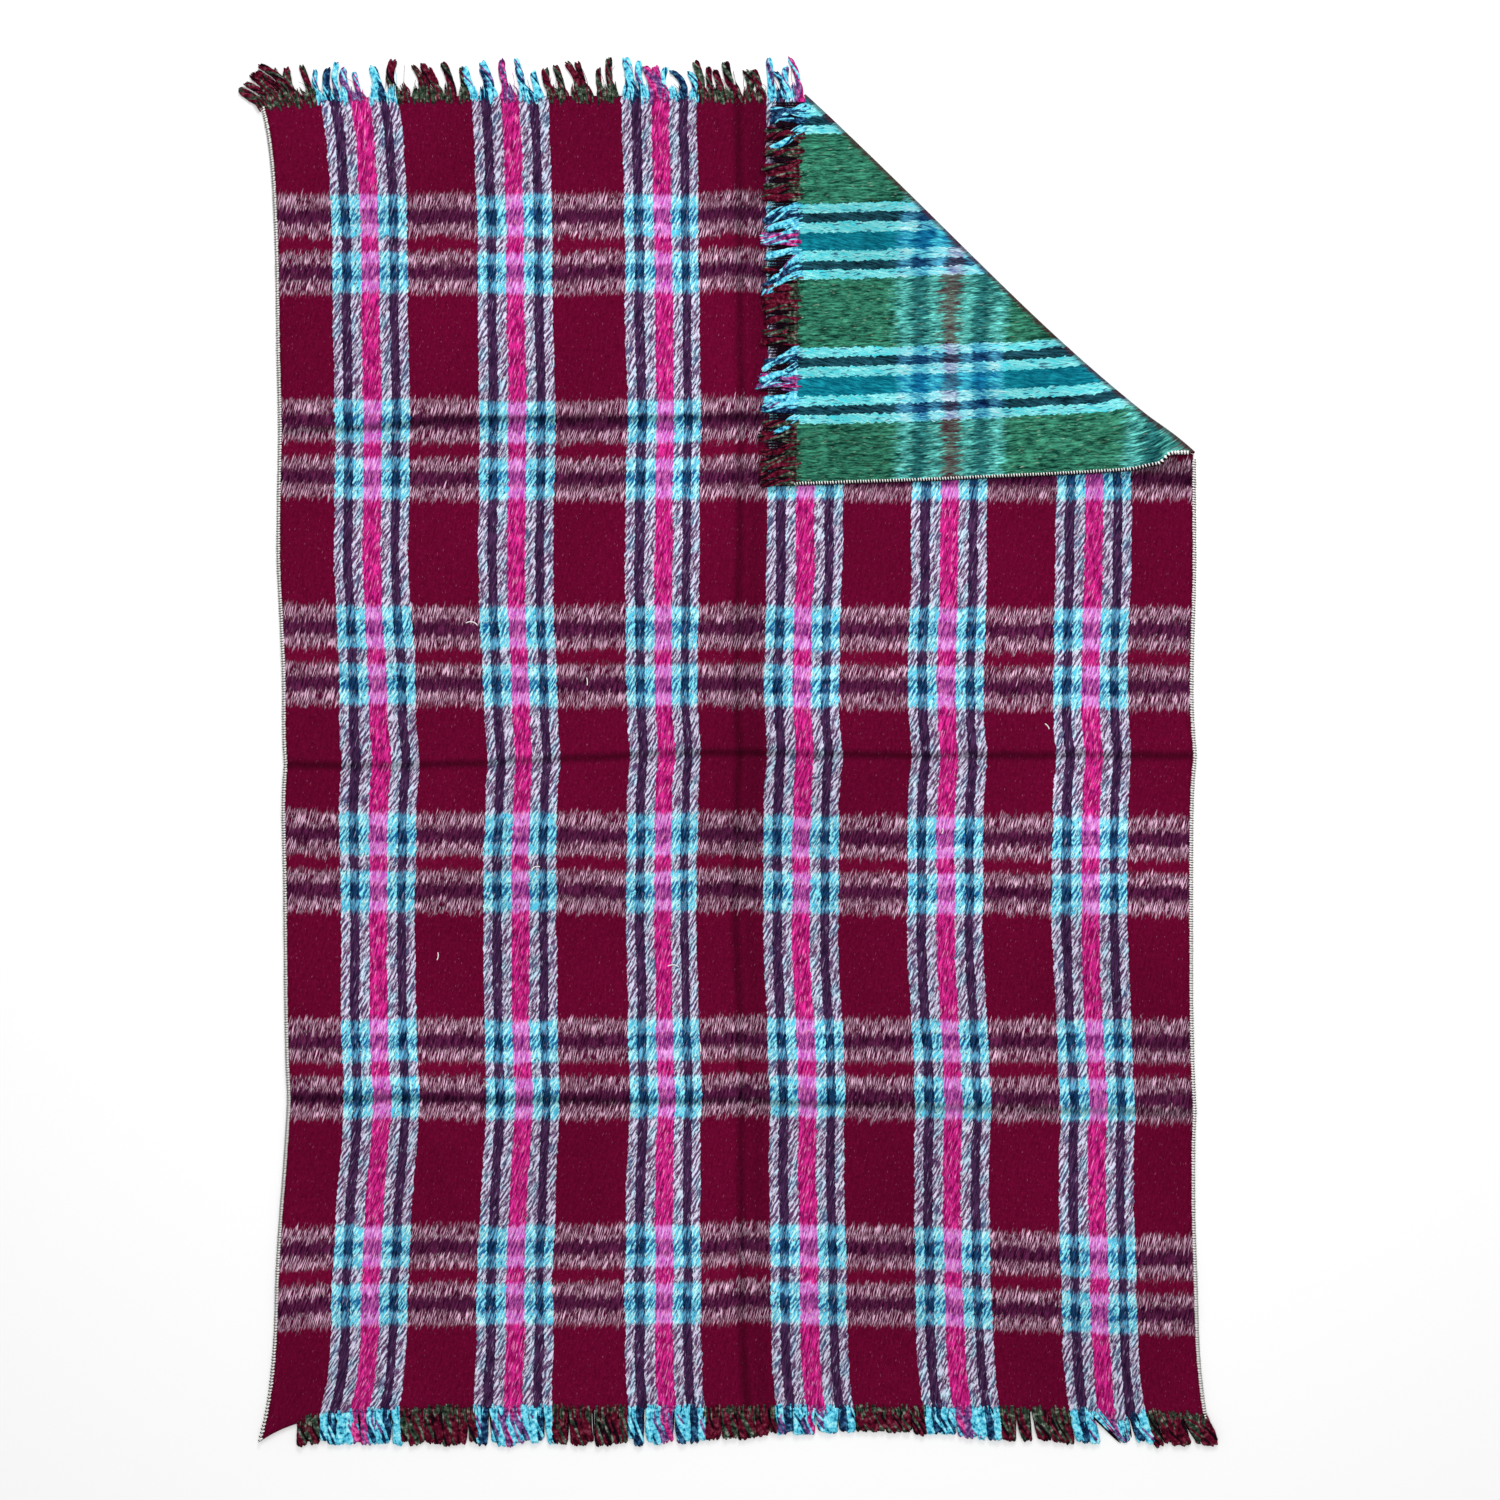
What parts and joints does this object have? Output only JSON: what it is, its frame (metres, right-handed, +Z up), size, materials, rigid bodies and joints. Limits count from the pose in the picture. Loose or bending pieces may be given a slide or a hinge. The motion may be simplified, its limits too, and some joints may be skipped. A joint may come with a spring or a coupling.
{
  "type": "plaid throw blanket",
  "caption": "Woollen plaid throw laid flat with one corner turned over, fringed ends and overlocked selvages; the corner unfolds and the lower quarter folds up.",
  "frame": {"origin": "centre of the whole throw's outline, on the surface that it lies on", "axes": "+X across the width towards the selvage that the turned corner came from, +Y along the length towards the end with the turned corner, +Z up"},
  "size_m": [1.405, 2.013, 0.0084],
  "materials": {
    "plaid_face": "brushed woollen twill, burgundy with pink, navy and pale blue stripes",
    "plaid_reverse": "brushed woollen twill, green with cyan, teal and navy stripes",
    "plain_tassel": "twisted wool tassels, burgundy and dark green",
    "stripe_tassel": "twisted wool tassels, pale blue, navy and pink",
    "overlock_thread": "cream and black overlock thread"
  },
  "bodies": {
    "root": {"binding_left_upper": "overlock_thread", "binding_right_upper": "overlock_thread", "cloth_upper": "plaid_face", "corner_tassel_top": "plain_tassel", "crease_strip": "plaid_face", "fold_roll": "plaid_face", "fringe_top_plain_1": "plain_tassel", "fringe_top_plain_2": "plain_tassel", "fringe_top_plain_3": "plain_tassel", "fringe_top_plain_4": "plain_tassel", "fringe_top_stripe_1": "stripe_tassel", "fringe_top_stripe_2": "stripe_tassel", "fringe_top_stripe_3": "stripe_tassel", "fringe_top_stripe_4": "stripe_tassel"},
    "lower_quarter": {"binding_left_lower": "overlock_thread", "binding_right_lower": "overlock_thread", "cloth_lower": "plaid_face", "corner_tassel_bottom": "plain_tassel", "fringe_bottom_plain_1": "plain_tassel", "fringe_bottom_plain_2": "plain_tassel", "fringe_bottom_plain_3": "plain_tassel", "fringe_bottom_plain_4": "plain_tassel", "fringe_bottom_plain_5": "plain_tassel", "fringe_bottom_plain_6": "plain_tassel", "fringe_bottom_plain_7": "plain_tassel", "fringe_bottom_stripe_1": "stripe_tassel", "fringe_bottom_stripe_2": "stripe_tassel", "fringe_bottom_stripe_3": "stripe_tassel", "fringe_bottom_stripe_4": "stripe_tassel", "fringe_bottom_stripe_5": "stripe_tassel", "fringe_bottom_stripe_6": "stripe_tassel"},
    "corner": {"binding_turned": "overlock_thread", "fringe_turned_plain_5": "plain_tassel", "fringe_turned_plain_6": "plain_tassel", "fringe_turned_plain_7": "plain_tassel", "fringe_turned_stripe_4": "stripe_tassel", "fringe_turned_stripe_5": "stripe_tassel", "fringe_turned_stripe_6": "stripe_tassel", "turned_corner": "plaid_reverse"}
  },
  "joints": [
    {"name": "corner_fold", "type": "hinge", "parent": "root", "child": "corner", "pos_m": [0.398, 0.6835, 0.0038], "axis": [-0.7366, 0.6764, 0], "range_deg": [0, 179.5], "deforming": ["fold_roll"]},
    {"name": "storage_fold", "type": "hinge", "parent": "root", "child": "lower_quarter", "pos_m": [0, -0.511, 0.0065], "axis": [-1, 0, 0], "range_deg": [0, 179.5], "deforming": ["crease_strip"]}
  ]
}
